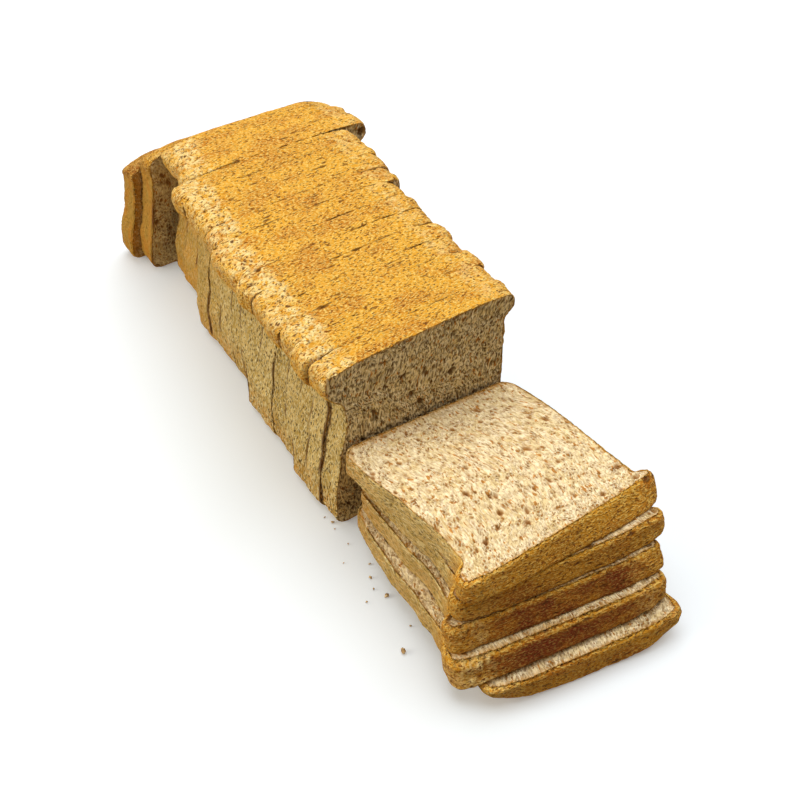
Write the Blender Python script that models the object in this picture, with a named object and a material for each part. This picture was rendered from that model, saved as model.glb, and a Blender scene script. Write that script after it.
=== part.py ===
"""Whole wheat sandwich bread: a sliced tin loaf, most of it standing in a row, five slices toppled.

Sizes are in millimetres and become metres where points are made. A slice is drawn across (u, from
its middle) and up (v, from its bottom crust). The row runs back along +Y from its front slice.
"""

import math
import random
from collections import namedtuple

import bmesh
import bpy

MM = 0.001

# One slice
SLICE_HEIGHT = 115.0
SLICE_THICKNESS = 14.1
BOTTOM_CORNER = 8.0
TOP_CORNER = 4.5
CRUST_ROUND = 1.1

# The top crust is flat in the middle and droops toward the ears that hang over the walls
FLAT_TOP = 30.0
EAR_REACH = 58.0
EAR_DROOP = 2.6
DROOP_POWER = 6

# Half width at some heights: the left wall has sunk in under its ear, the right wall is straighter
STANDING_LEFT = ((0.0, 55.8), (25.0, 55.4), (50.0, 51.6), (76.0, 46.8), (86.0, 47.9), (104.0, 58.3))
STANDING_RIGHT = ((0.0, 53.4), (50.0, 52.9), (80.0, 52.4), (97.0, 52.2), (107.0, 57.9))
LYING_LEFT = ((0.0, 54.6), (25.0, 54.6), (50.0, 53.6), (75.0, 50.4), (97.0, 51.4), (107.0, 58.8))
LYING_RIGHT = ((0.0, 51.0), (50.0, 51.4), (80.0, 51.8), (98.0, 52.9), (108.0, 61.4))
TOP_LEFT = ((0.0, 56.5), (25.0, 57.0), (58.0, 53.4), (80.0, 50.8), (97.0, 51.4), (107.0, 58.8))
LOW_LEFT = ((0.0, 59.0), (25.0, 60.5), (50.0, 60.0), (75.0, 57.0), (97.0, 55.0), (107.0, 58.8))
HEEL_SIDE = ((0.0, 51.5), (50.0, 52.0), (85.0, 52.4), (108.0, 55.2))
END_LEFT = ((0.0, 53.8), (25.0, 54.2), (55.0, 51.4), (80.0, 50.6), (94.0, 51.0), (107.0, 52.0))

# How finely a slice is drawn
COLUMNS = 6
CORNER_ANGLES = (0.0, 32.0, 60.0, 90.0)
LEVELS = (25.0, 44.0, 61.0, 76.0, 86.0, 93.0, 99.0, 104.0, 108.0, 111.5, 114.0)

# Where a standing slice is: its front face under the left and the right ear, how much farther back
# its foot stands, how far its top and its foot are moved to the right, how low each shoulder hangs,
# how much lower its top is than a full slice and how far that top falls to the back
Place = namedtuple(
    "Place",
    "left right foot_back top_side foot_side left_hang right_hang lower fall",
    defaults=(0.0, 0.0, 0.0, 0.0, 0.0, 0.0, 0.0),
)
ROW = (
    Place(-0.5, -1.0),
    Place(14.3, 13.5, 0.0, -1.6, -1.0, lower=0.4),
    Place(29.2, 28.0, 0.0, 1.2, -0.6),
    Place(43.8, 42.4, 0.5, -0.6, 4.4, lower=0.3),
    Place(58.4, 57.0, 0.5, 1.2, 5.0, lower=0.6),
    Place(73.0, 71.6, 0.5, 0.6, 4.6, lower=0.2),
    Place(88.0, 86.2, 0.5, 2.4, 5.6),
    Place(103.6, 100.9, 1.0, 1.8, 13.4, lower=0.4),
    Place(119.0, 115.5, 1.0, 7.0, 14.0),
    Place(134.2, 130.2, 1.5, 9.0, 14.4, lower=0.5),
    Place(149.6, 144.8, 1.5, 10.4, 15.0, lower=0.2),
    Place(164.6, 159.6, 2.0, 9.8, 14.6),
    Place(180.2, 175.2, 4.0, 22.4, 24.0, lower=0.4),
    Place(195.6, 190.2, 9.0, 25.0, 26.0, right_hang=5.0, lower=1.5),
    Place(210.8, 205.2, 15.0, 27.0, 28.0, 3.0, 12.0, lower=4.0, fall=3.0),
)
END_PAIR = (
    Place(226.6, 220.8, 25.0, 13.0, 13.5, 10.0, 12.0, lower=9.0, fall=15.0),
    Place(241.8, 236.0, 25.5, 8.0, 6.5, 14.0, 14.0, lower=25.0, fall=18.0),
)
MIDDLE_BOW = 0.9
UNEVEN_TOP = 0.3

# Where a toppled piece is, from the top of the pile: how far it is moved to the right and forward
# from the row, how far it is turned, how much it is pulled out of square, how far the upper edge of
# its crust end stands back at the left and at the right, how far the lower edge comes forward there,
# how much longer than the others it is, and its left side
Fallen = namedtuple(
    "Fallen",
    "across forward turn skew back_left back_right fore_left fore_right longer left_side",
    defaults=(0.0, 0.0, 0.0, 0.0, 0.0, LYING_LEFT),
)
PILE = (
    Fallen(4.5, -1.9, -0.5, 0.0, 3.0, 10.0, longer=1.6, left_side=TOP_LEFT),
    Fallen(9.6, -8.0, -6.5, 0.03, 3.0, 5.0),
    Fallen(7.3, -15.0, -8.5, 0.03, 6.0, 7.0),
    Fallen(8.8, -19.0, -12.0, 0.05, -5.0, 2.0, 11.5, 3.0, left_side=LOW_LEFT),
    Fallen(18.0, -36.5, -10.5, 0.0, -1.0, 4.0, left_side=HEEL_SIDE),
)
CRUST_END = 85.0
PILE_STEP = 13.9
PILE_GAP = 0.8
UNEVEN_EARS = 1.5

# The pile is bent over the heel at its bottom: its top stands so high at the row, rises by so much
# toward its crust ends, has a soft hump between and leans to the right, most of all at the row
PILE_BACK_TOP = 55.2
PILE_BACK_LIFT = 2.4
PILE_BACK_TWIST = -0.037
PILE_BACK_START = 2.0
PILE_RISE = 14.0
PILE_HUMP = 5.0
HUMP_LENGTH = 1.2
HUMP_POWER = 0.8
PILE_LEAN = -0.036

# The left ears of the lower slices hang down, and nothing sinks through the floor
HANGING_FROM = 3
HANG_START = 38.0
HANG_REACH = 28.0
HANG_DEPTH = 4.0
FLOOR_SOFTNESS = 0.8

# The heel lies on its bulging crust face, which curls up toward both sides
HEEL_FLAT_TOP = 16.7
HEEL_CURL_LEFT = 11.0
HEEL_CURL_RIGHT = 14.5
CURL_POWER = 3
HEEL_CLEARANCE = 1.5
HEEL_EDGE = 3.0
HEEL_THICKNESS = 15.0
HEEL_SHOULDER = 4.0

CRUMB_COLOUR = (0.55, 0.39, 0.22)
CRUMB_ROUGHNESS = 0.8
UNEVEN_COLOUR = 0.06


def clean_scene():
    for old in list(bpy.data.objects):
        bpy.data.objects.remove(old, do_unlink=True)


def whole_wheat(name, shade):
    """Plain brown bread as the finish of one slice, a little lighter or darker than the next."""
    colour = [channel * shade for channel in CRUMB_COLOUR]
    material = bpy.data.materials.new(name)
    material.use_nodes = True
    surface = material.node_tree.nodes["Principled BSDF"]
    surface.inputs["Base Color"].default_value = (*colour, 1.0)
    surface.inputs["Roughness"].default_value = CRUMB_ROUGHNESS
    surface.inputs["Metallic"].default_value = 0.0
    material.diffuse_color = (*colour, 1.0)
    return material


def heights(height):
    """Heights up a slice at which its outline is worked out: bottom corner, wall, ear, top."""
    corner = [BOTTOM_CORNER * (1.0 - math.cos(math.radians(a))) for a in CORNER_ANGLES]
    return corner + [level * height / SLICE_HEIGHT for level in LEVELS] + [height]


def half_width(level, height, stations):
    """Half the width of a slice at one height, eased between the stations of one side."""
    up = level * SLICE_HEIGHT / height
    width = stations[-1][1]
    for (low, start), (high, end) in zip(stations, stations[1:]):
        if low <= up <= high:
            part = (up - low) / (high - low)
            width = start + (end - start) * part * part * (3.0 - 2.0 * part)
            break
    under = BOTTOM_CORNER - level
    if under > 0.0:
        width -= BOTTOM_CORNER - math.sqrt(BOTTOM_CORNER ** 2 - under ** 2)
    over = level - (height - TOP_CORNER)
    if over > 0.0:
        width -= TOP_CORNER - math.sqrt(max(TOP_CORNER ** 2 - over ** 2, 0.0))
    return width


def outline_rows(height, sides, shoulders, inset):
    """Rows of points across a slice, bottom to top, each from the left side to the right side."""
    rows = []
    for level in heights(height):
        left = half_width(level, height, sides[0]) - inset
        right = half_width(level, height, sides[1]) - inset
        up = inset + level * (height - 2.0 * inset) / height
        row = []
        for column in range(COLUMNS + 1):
            across = -left + (left + right) * column / COLUMNS
            reach = max((abs(across) - FLAT_TOP) / (EAR_REACH - FLAT_TOP), 0.0)
            hang = EAR_DROOP + shoulders[int(across > 0.0)]
            row.append((across, up - hang * reach ** 2 * (up / height) ** DROOP_POWER))
        rows.append(row)
    return rows


def rim(rows):
    """Row and column of each point round the edge of a slice, in order."""
    top = len(rows) - 1
    side = len(rows[0]) - 1
    loop = [(k, 0) for k in range(top + 1)]
    loop += [(top, j) for j in range(1, side + 1)]
    loop += [(k, side) for k in range(top - 1, -1, -1)]
    loop += [(0, j) for j in range(side - 1, 0, -1)]
    return loop


def face_triangles(shape, grid):
    """Fill one cut face of a slice."""
    for below, above in zip(grid, grid[1:]):
        for j in range(COLUMNS):
            shape.faces.new((below[j], below[j + 1], above[j + 1]))
            shape.faces.new((below[j], above[j + 1], above[j]))


def slice_body(name, thickness, sides, shoulders, height, put, material):
    """One slice: two cut faces and a crust rim with rounded edges.

    The put function says where a point across, up and through the thickness (0 to 1) lies.
    """
    inner = outline_rows(height, sides, shoulders, CRUST_ROUND)
    outer = outline_rows(height, sides, shoulders, 0.0)
    edge = CRUST_ROUND / thickness
    shape = bmesh.new()

    def point(u, v, part):
        return shape.verts.new([MM * value for value in put(u, v, part)])

    front = [[point(u, v, 0.0) for u, v in row] for row in inner]
    back = [[point(u, v, 1.0) for u, v in row] for row in inner]
    loop = rim(inner)
    rings = [[front[k][j] for k, j in loop]]
    for part in (edge, 1.0 - edge):
        rings.append([point(*outer[k][j], part) for k, j in loop])
    rings.append([back[k][j] for k, j in loop])

    face_triangles(shape, front)
    face_triangles(shape, [row[::-1] for row in back])
    for ring, after in zip(rings, rings[1:]):
        for i, corner in enumerate(ring):
            n = (i + 1) % len(ring)
            shape.faces.new((corner, ring[n], after[n]))
            shape.faces.new((corner, after[n], after[i]))
    bmesh.ops.recalc_face_normals(shape, faces=shape.faces)

    mesh = bpy.data.meshes.new(name)
    shape.to_mesh(mesh)
    shape.free()
    mesh.materials.append(material)
    mesh.shade_smooth()
    made = bpy.data.objects.new(name, mesh)
    bpy.context.scene.collection.objects.link(made)
    return made


def front_face(place, x, v):
    """How far back the front face of a standing slice is at one place across and up."""
    across = (x / EAR_REACH + 1.0) / 2.0
    middle = 1.0 - min((x / EAR_REACH) ** 2, 1.0)
    top = place.left + (place.right - place.left) * across + MIDDLE_BOW * middle
    return top + place.foot_back * (1.0 - v / SLICE_HEIGHT)


def standing_slice(name, place, sides, chance, material):
    """A slice of the row, of even thickness, leaning as its place says."""
    lean = math.atan(place.foot_back / SLICE_HEIGHT)
    height = SLICE_HEIGHT - place.lower + chance.uniform(-UNEVEN_TOP, UNEVEN_TOP)
    shoulders = (place.left_hang, place.right_hang)

    def put(u, v, part):
        up = v / SLICE_HEIGHT
        x = u + place.top_side * up + place.foot_side * (1.0 - up)
        y = front_face(place, x, v) + part * SLICE_THICKNESS / math.cos(lean)
        z = v * math.cos(lean) + part * SLICE_THICKNESS * math.sin(lean)
        return x, y, z - place.fall * part ** 2 * up ** 3

    return slice_body(name, SLICE_THICKNESS, sides, shoulders, height, put, material)


def pile_top(x, y):
    """Height of the top of the pile at one place."""
    along = max((-y - PILE_BACK_START) / SLICE_HEIGHT, 0.0)
    warped = min(along / HUMP_LENGTH, 1.0) ** HUMP_POWER
    hump = PILE_HUMP * (1.0 - (2.0 * warped - 1.0) ** 2) ** 2
    lift = (PILE_BACK_LIFT + PILE_BACK_TWIST * x) * (1.0 - min(along, 1.0)) ** 2
    return PILE_BACK_TOP + PILE_RISE * along + hump + PILE_LEAN * x + lift


def pile_level(index, x, y):
    """Height of the gap under the first index slices of the pile."""
    level = pile_top(x, y) - PILE_STEP * index
    if index >= HANGING_FROM:
        hang = max(-x - HANG_START, 0.0) / HANG_REACH
        along = min(max(-y / SLICE_HEIGHT, 0.0), 1.0)
        level -= (index - HANGING_FROM + 1) * HANG_DEPTH * hang ** 2 * along
    if index == len(PILE) - 1:
        level = 0.5 * (level + math.sqrt(level ** 2 + FLOOR_SOFTNESS))
    return level


def lying(fallen, u, v, part):
    """Place on the floor of a point of a toppled slice, its crust end to the front."""
    turn = math.radians(fallen.turn)
    crust_end = max((v - CRUST_END) / (SLICE_HEIGHT - CRUST_END), 0.0) ** 2
    across = min(max((u / EAR_REACH + 1.0) / 2.0, 0.0), 1.0)
    back = fallen.back_left + (fallen.back_right - fallen.back_left) * across
    fore = fallen.fore_left + (fallen.fore_right - fallen.fore_left) * across
    u += fallen.skew * v
    x = fallen.across + u * math.cos(turn) + v * math.sin(turn)
    y = fallen.forward + u * math.sin(turn) - v * math.cos(turn)
    return x, y + crust_end * (back * part - fore * (1.0 - part))


def lying_slice(name, index, chance, material):
    """A toppled slice, bent over those below it."""
    shoulders = [chance.uniform(0.0, UNEVEN_EARS) for _ in range(2)]

    def put(u, v, part):
        x, y = lying(PILE[index], u, v, part)
        high = pile_level(index, x, y) - 0.5 * PILE_GAP
        low = pile_level(index + 1, x, y) + 0.5 * PILE_GAP
        return x, y, low + (high - low) * part

    sides = (PILE[index].left_side, LYING_RIGHT)
    height = SLICE_HEIGHT + PILE[index].longer
    return slice_body(name, PILE_STEP - PILE_GAP, sides, shoulders, height, put, material)


def lying_heel(name, material):
    """The end of the loaf under the pile: cut face up, curved crust face on the floor."""

    def put(u, v, part):
        x, y = lying(PILE[-1], u, v, part)
        curl = HEEL_CURL_LEFT if u < 0.0 else HEEL_CURL_RIGHT
        high = min(pile_level(len(PILE) - 1, x, y) - HEEL_CLEARANCE, HEEL_FLAT_TOP)
        low = min(curl * (abs(u) / EAR_REACH) ** CURL_POWER, high - HEEL_EDGE)
        return x, y, low + (high - low) * part

    sides = (HEEL_SIDE, HEEL_SIDE)
    shoulders = (HEEL_SHOULDER, HEEL_SHOULDER)
    return slice_body(name, HEEL_THICKNESS, sides, shoulders, SLICE_HEIGHT, put, material)


def centre_on_floor(pieces):
    """Move all the pieces so that their shared box stands centred over the origin."""
    corners = [vertex.co.copy() for piece in pieces for vertex in piece.data.vertices]
    middle_x = 0.5 * (min(c.x for c in corners) + max(c.x for c in corners))
    middle_y = 0.5 * (min(c.y for c in corners) + max(c.y for c in corners))
    floor = min(c.z for c in corners)
    for piece in pieces:
        for vertex in piece.data.vertices:
            vertex.co.x -= middle_x
            vertex.co.y -= middle_y
            vertex.co.z -= floor


def build():
    clean_scene()
    chance = random.Random(11)
    pieces = []

    def finish(name):
        shade = 1.0 + random.Random(name).uniform(-UNEVEN_COLOUR, UNEVEN_COLOUR)
        return whole_wheat(name + "_bread", shade)

    for i, place in enumerate(ROW):
        name = f"row_slice_{i + 1:02d}"
        sides = (STANDING_LEFT, STANDING_RIGHT)
        pieces.append(standing_slice(name, place, sides, chance, finish(name)))
    for name, place in zip(("end_slice", "end_heel"), END_PAIR):
        sides = (END_LEFT, STANDING_RIGHT)
        pieces.append(standing_slice(name, place, sides, chance, finish(name)))
    for i in range(len(PILE) - 1):
        name = f"pile_slice_{i + 1:02d}"
        pieces.append(lying_slice(name, i, chance, finish(name)))
    pieces.append(lying_heel("pile_heel", finish("pile_heel")))
    centre_on_floor(pieces)


build()
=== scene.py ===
"""Whole wheat sandwich bread: a sliced tin loaf in a row, with five pieces toppled at its front.

Shapes are worked out in millimetres and become metres where a mesh is made. A slice is drawn
across (u, from its middle), up (v, from its bottom crust) and through its thickness (part, 0 to 1).
"""

import math
from collections import namedtuple

import bmesh
import bpy
import numpy as np
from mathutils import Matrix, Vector, geometry


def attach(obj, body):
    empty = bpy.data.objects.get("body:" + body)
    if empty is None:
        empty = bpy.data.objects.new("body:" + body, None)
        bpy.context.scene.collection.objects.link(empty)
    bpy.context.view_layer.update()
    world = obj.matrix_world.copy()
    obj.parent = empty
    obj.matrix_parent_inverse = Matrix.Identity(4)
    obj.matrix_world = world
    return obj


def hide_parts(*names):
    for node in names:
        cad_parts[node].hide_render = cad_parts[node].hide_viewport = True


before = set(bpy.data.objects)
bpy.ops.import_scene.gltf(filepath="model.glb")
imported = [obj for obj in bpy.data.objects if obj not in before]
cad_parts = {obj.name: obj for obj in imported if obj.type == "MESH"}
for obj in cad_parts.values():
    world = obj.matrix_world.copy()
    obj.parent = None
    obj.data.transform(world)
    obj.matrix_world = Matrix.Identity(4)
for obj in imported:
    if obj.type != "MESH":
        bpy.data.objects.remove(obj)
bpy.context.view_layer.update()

MM = 0.001

# One slice
SLICE_HEIGHT = 115.0
SLICE_THICKNESS = 14.1
SLICE_REACH = 62.0
BOTTOM_CORNER = 8.0
TOP_CORNER = 4.5
CUT_WIDTH = 0.08
SLICE_PITCH = 14.6

# The top crust is flat in the middle and droops toward the ears that hang over the walls
FLAT_TOP = 30.0
EAR_REACH = 58.0
EAR_DROOP = 2.6
DROOP_POWER = 6

# Half width at some heights: the left wall has sunk in under its ear, the right wall is straighter
STANDING_LEFT = ((0.0, 55.8), (25.0, 55.4), (50.0, 51.6), (76.0, 46.8), (86.0, 47.9), (104.0, 58.3))
STANDING_RIGHT = ((0.0, 53.4), (50.0, 52.9), (80.0, 52.4), (97.0, 52.2), (107.0, 57.9))
LYING_LEFT = ((0.0, 54.6), (25.0, 54.6), (50.0, 53.6), (75.0, 50.4), (97.0, 51.4), (107.0, 58.8))
LYING_RIGHT = ((0.0, 51.0), (50.0, 51.4), (80.0, 51.8), (98.0, 52.9), (108.0, 61.4))
TOP_LEFT = ((0.0, 56.5), (25.0, 57.0), (58.0, 53.4), (80.0, 50.8), (97.0, 51.4), (107.0, 58.8))
LOW_LEFT = ((0.0, 59.0), (25.0, 60.5), (50.0, 60.0), (75.0, 57.0), (97.0, 55.0), (107.0, 58.8))
HEEL_SIDE = ((0.0, 51.5), (50.0, 52.0), (85.0, 52.4), (108.0, 55.2))
END_LEFT = ((0.0, 53.8), (25.0, 54.2), (55.0, 51.4), (80.0, 50.6), (94.0, 51.0), (107.0, 52.0))

# Where a standing slice is: its front face under the left and the right ear, how much farther back
# its foot stands, how far its top and its foot are moved to the right, how low each shoulder hangs,
# how much lower its top is than a full slice and how far that top falls to the back
Place = namedtuple(
    "Place",
    "left right foot_back top_side foot_side left_hang right_hang lower fall",
    defaults=(0.0, 0.0, 0.0, 0.0, 0.0, 0.0, 0.0),
)
ROW = (
    Place(-0.5, -1.0),
    Place(14.3, 13.5, 0.0, -1.6, -1.0, lower=0.4),
    Place(29.2, 28.0, 0.0, 1.2, -0.6),
    Place(43.8, 42.4, 0.5, -0.6, 4.4, lower=0.3),
    Place(58.4, 57.0, 0.5, 1.2, 5.0, lower=0.6),
    Place(73.0, 71.6, 0.5, 0.6, 4.6, lower=0.2),
    Place(88.0, 86.2, 0.5, 2.4, 5.6),
    Place(103.6, 100.9, 1.0, 1.8, 13.4, lower=0.4),
    Place(119.0, 115.5, 1.0, 7.0, 14.0),
    Place(134.2, 130.2, 1.5, 9.0, 14.4, lower=0.5),
    Place(149.6, 144.8, 1.5, 10.4, 15.0, lower=0.2),
    Place(164.6, 159.6, 2.0, 9.8, 14.6),
    Place(180.2, 175.2, 4.0, 22.4, 24.0, lower=0.4),
    Place(195.6, 190.2, 9.0, 25.0, 26.0, right_hang=5.0, lower=1.5),
    Place(210.8, 205.2, 15.0, 27.0, 28.0, 3.0, 12.0, lower=4.0, fall=3.0),
)
END_PAIR = (
    Place(226.6, 220.8, 25.0, 13.0, 13.5, 10.0, 12.0, lower=9.0, fall=15.0),
    Place(241.8, 236.0, 25.5, 8.0, 6.5, 14.0, 14.0, lower=25.0, fall=18.0),
)
LOOSE_AFTER = (12, 15)
MIDDLE_BOW = 0.9
FALL_POWER = 3

# Where a toppled piece is, from the top of the pile: how far it is moved to the right and forward
# from the row, how far it is turned, how much it is pulled out of square, how far the upper edge of
# its crust end stands back at the left and at the right, how far the lower edge comes forward there,
# how much longer than the others it is, and its left side
Fallen = namedtuple(
    "Fallen",
    "across forward turn skew back_left back_right fore_left fore_right longer left_side",
    defaults=(0.0, 0.0, 0.0, 0.0, 0.0, LYING_LEFT),
)
PILE = (
    Fallen(4.5, -1.9, -0.5, 0.0, 3.0, 10.0, longer=1.6, left_side=TOP_LEFT),
    Fallen(9.6, -8.0, -6.5, 0.03, 3.0, 5.0),
    Fallen(7.3, -15.0, -8.5, 0.03, 6.0, 7.0),
    Fallen(8.8, -19.0, -12.0, 0.05, -5.0, 2.0, 11.5, 3.0, left_side=LOW_LEFT),
    Fallen(18.0, -36.5, -10.5, 0.0, -1.0, 4.0, left_side=HEEL_SIDE),
)
CRUST_END = 85.0
PILE_SHOULDER = 0.7
PILE_STEP = 13.9
PILE_GAP = 0.35
PILE_BACK_TOP = 55.2
PILE_BACK_LIFT = 2.4
PILE_BACK_TWIST = -0.037
PILE_BACK_START = 2.0
PILE_RISE = 14.0
PILE_HUMP = 5.0
HUMP_LENGTH = 1.2
HUMP_POWER = 0.8
PILE_LEAN = -0.036
HANGING_FROM = 3
HANG_START = 38.0
HANG_REACH = 28.0
HANG_DEPTH = 4.0
FLOOR_SOFTNESS = 0.8
HEEL_FLAT_TOP = 16.7
HEEL_CURL_LEFT = 11.0
HEEL_CURL_RIGHT = 14.5
CURL_POWER = 3
HEEL_CLEARANCE = 1.1
HEEL_EDGE = 3.0
HEEL_SHOULDER = 4.0

# The middle of the whole part's box, which stands over the origin
CENTRE = (9.559, 62.809)

# Crumbs on the table: place and width
CRUMBS = (
    (-67.4, -54.2, 1.0), (-65.7, -59.7, 1.5), (-67.2, -64.1, 0.9), (-66.7, -76.8, 0.9),
    (-75.5, -86.1, 0.8), (-64.5, -94.5, 1.2), (-69.1, -102.3, 1.6), (-71.7, -109.1, 1.1),
    (-68.6, -116.6, 2.4), (-79.2, -113.9, 1.0), (-68.9, -138.8, 1.1), (-80.5, -149.4, 2.6),
)

# The camera, from where the slices' edges and ears lie in the picture
CAMERA_PLACE = (-270.8, -375.1, 540.0)
CAMERA_TILT = 44.29
CAMERA_TURN = -34.42
CAMERA_LENS = 56.87
CAMERA_SENSOR = 36.0


# Noise, humps and pits

# Odd numbers that stir a cell's place until no pattern shows
SEED_FACTOR = 40503
SEED_START = 977
CELL_FACTORS = (73856093, 19349663, 83492791)
LAST_FACTOR = 2246822519
CELL_SHIFT = 15
LAST_SHIFT = 13
LARGEST = 4294967295.0

# A layer of humps: how far they stand out and how wide they are in mm, and where its noise starts
Humps = namedtuple("Humps", "depth width seed")

# A layer of pits: how far apart they are in mm, the share of places that have one, the least and the
# most of that distance that one reaches, how deep it is in mm, how dark it is painted as shade in it,
# and its noise's start
Pits = namedtuple("Pits", "apart share least most depth dark seed")
SHARE_SEED = 7
REACH_SEED = 8


def cell_number(cells, seed):
    """A repeatable number from 0 to 1 for each whole-number cell."""
    with np.errstate(over="ignore"):
        mixed = np.full(cells.shape[:-1], seed * SEED_FACTOR + SEED_START, np.uint32)
        for axis, factor in zip(range(cells.shape[-1]), CELL_FACTORS):
            mixed = (mixed ^ cells[..., axis].astype(np.int32).view(np.uint32)) * np.uint32(factor)
            mixed ^= mixed >> np.uint32(CELL_SHIFT)
        mixed = mixed * np.uint32(LAST_FACTOR)
        mixed ^= mixed >> np.uint32(LAST_SHIFT)
    return mixed / LARGEST


def ease(part):
    """From 0 to 1, slow at both ends."""
    return part * part * (3.0 - 2.0 * part)


def ramp(value, start, end):
    """0 up to the start, 1 from the end on, eased between. The start may be the higher one."""
    return ease(np.clip((value - start) / (end - start), 0.0, 1.0))


def soft_noise(points, seed):
    """Smooth noise from -1 to 1, one hump to a unit."""
    base = np.floor(points).astype(np.int64)
    part = ease(points - base)
    total = 0.0
    for corner in np.ndindex(*(2,) * points.shape[-1]):
        weight = np.prod(np.where(np.array(corner), part, 1.0 - part), axis=-1)
        total = total + weight * cell_number(base + np.array(corner), seed)
    return 2.0 * total - 1.0


def humps(points, layers, seed=0):
    """How far some layers of humps together stand out."""
    height = 0.0
    for layer in layers:
        height = height + layer.depth * soft_noise(points / np.array(layer.width), seed + layer.seed)
    return height


def pits(points, layer, seed=0):
    """Round pits scattered one to a cell in a share of the cells: 0 outside, 1 in the middle."""
    points = points / np.array(layer.apart)
    seed = seed + layer.seed
    base = np.floor(points).astype(np.int64)
    size = points.shape[-1]
    depth = np.zeros(points.shape[:-1])
    for step in np.ndindex(*(3,) * size):
        cell = base + np.array(step) - 1
        middle = cell + np.stack([cell_number(cell, seed + k) for k in range(size)], axis=-1)
        reach = layer.least + (layer.most - layer.least) * cell_number(cell, seed + REACH_SEED) ** 2
        away = np.sum((points - middle) ** 2, axis=-1) / reach ** 2
        pitted = cell_number(cell, seed + SHARE_SEED) < layer.share
        depth = np.maximum(depth, pitted * np.clip(1.0 - away, 0.0, 1.0))
    return depth


# The outline of a slice

# It is first drawn with these steps in degrees and mm and numbers of points, and then spaced evenly
CORNER_STEP = 6.0
WALL_STEP = 1.0
TOP_POINTS = 120
BOTTOM_POINTS = 60

# Points on a cut face start this far inside the crust, are finest this near to it and stray this much
INNER_START = 0.9
INNER_SHARE = 0.4
FINE_REACH = 5.0
POINT_STRAY = 0.2

# Rounds in which the height that a drooping place had before it drooped is found
DROOP_ROUNDS = 4


def side_width(level, stations):
    """Half width at some heights, eased between the stations of one side."""
    places = np.array([station[0] for station in stations])
    widths = np.array([station[1] for station in stations])
    k = np.clip(np.searchsorted(places, level, side="right") - 1, 0, len(places) - 2)
    part = np.clip((level - places[k]) / (places[k + 1] - places[k]), 0.0, 1.0)
    return widths[k] + (widths[k + 1] - widths[k]) * part * part * (3.0 - 2.0 * part)


def half_width(level, height, stations):
    """Half the width of a slice at some heights, its corners rounded."""
    width = side_width(level * SLICE_HEIGHT / height, stations)
    under = np.clip(BOTTOM_CORNER - level, 0.0, BOTTOM_CORNER)
    over = np.clip(level - (height - TOP_CORNER), 0.0, TOP_CORNER)
    width = width - BOTTOM_CORNER + np.sqrt(BOTTOM_CORNER ** 2 - under ** 2)
    return width - TOP_CORNER + np.sqrt(TOP_CORNER ** 2 - over ** 2)


def droop(u, v, height, hangs):
    """How far the top hangs down at some places of a slice."""
    reach = np.clip((np.abs(u) - FLAT_TOP) / (EAR_REACH - FLAT_TOP), 0.0, None)
    hang = EAR_DROOP + np.where(u > 0.0, hangs[1], hangs[0])
    return hang * reach ** 2 * np.clip(v / height, 0.0, 1.0) ** DROOP_POWER


def outline(form):
    """Points round a slice at even spacing, with their outward directions."""
    turn = np.radians(np.arange(0.0, 91.0, CORNER_STEP))
    low = BOTTOM_CORNER * (1.0 - np.cos(turn))
    high = form.height - TOP_CORNER * (1.0 - np.cos(turn[::-1]))
    between = np.arange(BOTTOM_CORNER + WALL_STEP, high[0] - 0.5 * WALL_STEP, WALL_STEP)
    levels = np.concatenate([low, between, high])
    left = np.stack([-half_width(levels, form.height, form.left), levels], axis=1)
    right = np.stack([half_width(levels, form.height, form.right), levels], axis=1)
    top = np.linspace(left[-1], right[-1], TOP_POINTS)[1:-1]
    bottom = np.linspace(right[0], left[0], BOTTOM_POINTS)[1:-1]
    for side in (left, right, top):
        side[:, 1] -= droop(side[:, 0], side[:, 1], form.height, form.hangs)
    left, right = (side[side[:, 1] >= np.maximum.accumulate(side[:, 1])] for side in (left, right))
    loop = np.concatenate([left, top, right[::-1], bottom, left[:1]])
    run = np.concatenate([[0.0], np.cumsum(np.linalg.norm(np.diff(loop, axis=0), axis=1))])
    count = int(run[-1] / RIM_SPACING)
    at = np.arange(count) * run[-1] / count
    loop = np.stack([np.interp(at, run, loop[:, k]) for k in range(2)], axis=1)
    along = np.roll(loop, -1, axis=0) - np.roll(loop, 1, axis=0)
    along /= np.linalg.norm(along, axis=1)[:, None]
    return loop, np.stack([-along[:, 1], along[:, 0]], axis=1)


def inward(form, u, v):
    """How far inside the crust some places of a cut face are."""
    level = v
    for _ in range(DROOP_ROUNDS):
        level = np.clip(v + droop(u, level, form.height, form.hangs), 0.0, form.height)
    left = u + half_width(level, form.height, form.left)
    right = half_width(level, form.height, form.right) - u
    return np.minimum(np.minimum(left, right), np.minimum(level, form.height - level))


def scatter(form, near, far, chance):
    """Points over a cut face: close together by its crust, farther apart toward its middle."""
    kept = []
    levels = int(round(math.log2(far / near)))
    for level in range(levels + 1):
        step = near * 2.0 ** level
        across = np.arange(-SLICE_REACH, SLICE_REACH, step)
        across, up = np.meshgrid(across, np.arange(0.0, form.height, step))
        across[1::2] += step / 2.0
        points = np.stack([across, up], axis=-1).reshape(-1, 2)
        points += chance.uniform(-POINT_STRAY, POINT_STRAY, points.shape) * step
        away = inward(form, points[:, 0], points[:, 1])
        start = FINE_REACH * (2.0 ** level - 1.0) if level else INNER_START + INNER_SHARE * near
        end = FINE_REACH * (2.0 ** (level + 1) - 1.0) if level < levels else math.inf
        kept.append(points[(away > start) & (away <= end)])
    return np.concatenate(kept)


# Placing a slice


def front_face(place, x, v):
    """How far back the front face of a standing slice is at one place across and up."""
    across = (x / EAR_REACH + 1.0) / 2.0
    middle = 1.0 - np.minimum((x / EAR_REACH) ** 2, 1.0)
    top = place.left + (place.right - place.left) * across + MIDDLE_BOW * middle
    return top + place.foot_back * (1.0 - v / SLICE_HEIGHT)


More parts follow.
